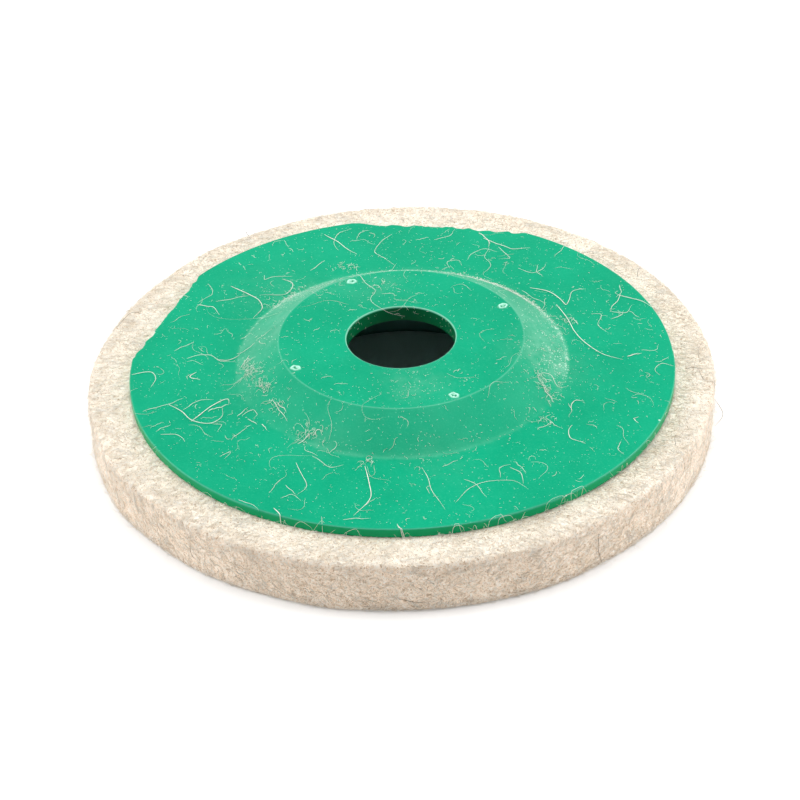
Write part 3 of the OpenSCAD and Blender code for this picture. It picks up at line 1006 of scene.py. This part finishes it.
def strew(name, x, y, mean_length, thick, steps, seed, curl=1.6, arch=0.15 * MM, tones=(0, 0.6)):
    """Short fibres that start at given places and head anywhere."""
    dice = np.random.default_rng(seed)
    n = len(x)
    length = np.minimum(dice.gamma(2.5, mean_length / 2.5, n), 4 * mean_length)
    px, py = wander(x, y, dice.uniform(0, 2 * np.pi, n), length, dice.normal(0, curl, n), steps, dice)
    thickness = dice.uniform(*thick, n) * MM
    paths = lay(px, py, thickness, dice.uniform(0.2, 1.0, n) * arch, dice)
    return make_fibres(name, paths, thickness, dice.uniform(*tones, n) * dice.random(n))


strew("plate_short_fibres", *scatter(190, 42, 0.4), 1.9 * MM, (0.022, 0.04), 9, 43)
strew("plate_fine_fibres", *scatter(80, 45, 1.0), 5.0 * MM, (0.016, 0.028), 18, 46, curl=1.2)
strew("plate_bits", *scatter(2700, 52, 0.06), 0.32 * MM, (0.015, 0.032), 4, 53)
strew("plate_grains", *scatter(1300, 55, 0.06), 0.15 * MM, (0.026, 0.062), 4, 56, arch=0.02 * MM)
FOOT_DUST = 620
dice = np.random.default_rng(57)
way = np.radians(np.clip(dice.normal(48, 14, FOOT_DUST), 15, 85))
away = HUB_FOOT_R + dice.normal(0, 0.3, FOOT_DUST) * MM
strew("plate_foot_dust", away * np.cos(way), away * np.sin(way), 0.4 * MM, (0.022, 0.05), 4, 58)


# %% Mat the tufts and lean fibres on the rim


def tuft(start, end, width, count, seed):
    """Places strewn along a line between two points in millimetres."""
    dice = np.random.default_rng(seed)
    t, off = dice.random(count), dice.normal(0, width / 2, (count, 2)) * MM
    start, end = Vector(start) * MM, Vector(end) * MM
    return (start.x + (end.x - start.x) * t + off[:, 0], start.y + (end.y - start.y) * t + off[:, 1])


TUFTS = [((-32, -2), (-30, -7), 1.7, 75), ((-29, -9), (-27, -13), 1.4, 55),
         ((-27, -15), (-24, -20), 1.6, 22), ((-21, -25), (-16, -28), 1.9, 40),
         ((27, -11), (29, -16), 2.2, 55), ((25, -22), (30, -25), 1.8, 18),
         ((33, 13), (37, 11), 1.4, 16), ((-13, 37), (-9, 35), 1.8, 24),
         ((-27, 21), (-20, 28), 1.5, 34), ((-9, -36), (-7, -34), 1.2, 12)]
places = [tuft(*line, 60 + number) for number, line in enumerate(TUFTS)]
strew("plate_tufts", np.concatenate([x for x, _ in places]), np.concatenate([y for _, y in places]),
      1.2 * MM, (0.022, 0.045), 8, 71, curl=3.0, arch=0.5 * MM, tones=(0, 0.5))

BORE_LINT = 45
dice = np.random.default_rng(73)
lint_a, lint_b = wander(np.radians(dice.uniform(15, 165, BORE_LINT)) * BORE_R,
                        dice.uniform(WEB_Z + 0.3 * MM, HUB_Z - 0.4 * MM, BORE_LINT),
                        dice.uniform(0, 2 * np.pi, BORE_LINT), dice.gamma(2.0, 0.3, BORE_LINT) * MM,
                        dice.normal(0, 1.5, BORE_LINT), 6, dice)
theta = lint_a / BORE_R
make_fibres("bore_lint", np.stack([(BORE_R - 0.05 * MM) * np.cos(theta),
                                   (BORE_R - 0.05 * MM) * np.sin(theta), lint_b], -1),
            dice.uniform(0.02, 0.045, BORE_LINT) * MM, dice.uniform(0, 0.4, BORE_LINT))

RIM_FIBRES = 380
dice = np.random.default_rng(72)
s = np.linspace(0, 1, 8)[None, :]
start = dice.uniform(0, 2 * np.pi, (RIM_FIBRES, 1))
span = dice.normal(0, 1.6, (RIM_FIBRES, 1)) * MM / PLATE_R
theta = start + span * s
gap = dice.uniform(0.05, 0.35, (RIM_FIBRES, 1)) * MM
foot = dice.uniform(0.0, 1.0, (RIM_FIBRES, 1)) * MM
radius = rim_radius(theta) + gap + foot * (1 - np.sin(np.pi * s * 0.5) ** 0.5)
rise = dice.gamma(1.6, 0.45, (RIM_FIBRES, 1)) * MM
arched = dice.random((RIM_FIBRES, 1)) < 0.5
height = FELT_H + np.minimum(rise, 2.6 * MM) * np.where(arched, np.sin(np.pi * s), s)
make_fibres("rim_fibres", np.stack([radius * np.cos(theta), radius * np.sin(theta), height], -1),
            dice.uniform(0.022, 0.045, RIM_FIBRES) * MM, dice.uniform(0, 0.5, RIM_FIBRES))

# %% Lay the long strands at the rim
# Each place: degrees round, mm out from the rim's wall, mm up from the felt
RIM_STRANDS = [
    [(-75, 1, 0), (-74, 0, 2), (-72, 0, 3), (-71, 0, 1), (-70, 1, 0)],
    [(-73, 1, 0), (-72, 0, 2), (-70, 0, 2), (-69, 1, 0)],
    [(-68, 1, 0), (-68, 1, 1), (-67, 2, 1), (-67, 1, 0)],
    [(-63, 1, 0), (-62, 0, 2), (-60, 0, 3), (-58, 0, 2), (-59, 1, 0), (-61, 1, 1)],
    [(-60, 1, 0), (-58, 0, 2), (-56, 0, 2), (-55, 1, 0)],
    [(-57, 1, 0), (-56, 0, 3), (-54, 0, 3), (-53, 1, 1)],
    [(-82, 1, 0), (-81, 0, 2), (-80, 0, 2), (-79, 1, 0)],
    [(-86, 1, 0), (-85, 1, 1), (-83, 1, 1), (-83, 1, 0)],
    [(-103, 1, 0), (-102, 0, 1), (-100, 0, 2), (-99, 1, 1)],
    [(-113, 1, 0), (-111, 0, 2), (-109, 0, 1), (-108, 1, 0)],
    [(-118, 1, 0), (-115, 0, 1), (-112, 1, 0)], [(-128, 1, 0), (-125, 0, 1), (-121, 1, 0)],
    [(-136, 1, 0), (-133, 0, 1), (-130, 1, 1)], [(-144, 5, 0), (-146, 3, 1), (-149, 1, 1)],
    [(-146, 5, 0), (-147, 3, 1), (-149, 2, 1), (-150, 0, 2)],
    [(-151, 1, 0), (-149, 1, 2), (-147, 2, 0)],
    [(-153, 1, 0), (-151, 0, 2), (-150, 0, 3)], [(-34, 1, 0), (-33, 0, 2), (-32, 1, 1)],
    [(-47, 1, 0), (-46, 1, 1), (-46, 0, 2)], [(-24, 1, 0), (-23, 0, 2), (-21, 0, 1)],
]
flat = np.array([through(route, 18) for route in RIM_STRANDS])
theta = np.radians(flat[..., 0] / MM)
radius = rim_radius(theta) + 0.1 * MM + np.maximum(flat[..., 1], 0)
height = FELT_H + 0.1 * MM + np.clip(flat[..., 2], 0, 2.7 * MM)
make_fibres("rim_strands", np.stack([radius * np.cos(theta), radius * np.sin(theta), height], -1),
            dice.uniform(0.018, 0.034, len(flat)) * MM, dice.uniform(0, 0.15, len(flat)))

# %% [markdown]
# ## Adhesive
# The bond film and the sealed wall of the felt's hole keep the shapes of the engineering
# model, which are right, and only take on the adhesive's finish, whose dark colour is painted shade.

# %% Finish the adhesive
for node in ("bond_film", "hole_seal"):
    mesh = frame["nodes"][node].data
    mesh.materials.clear()
    mesh.materials.append(adhesive_shade)
print("adhesive on bond_film and hole_seal")

# %% [markdown]
# ## Update the scene
# The view layer is brought up to date once more.

# %% Update the view layer
bpy.context.view_layer.update()
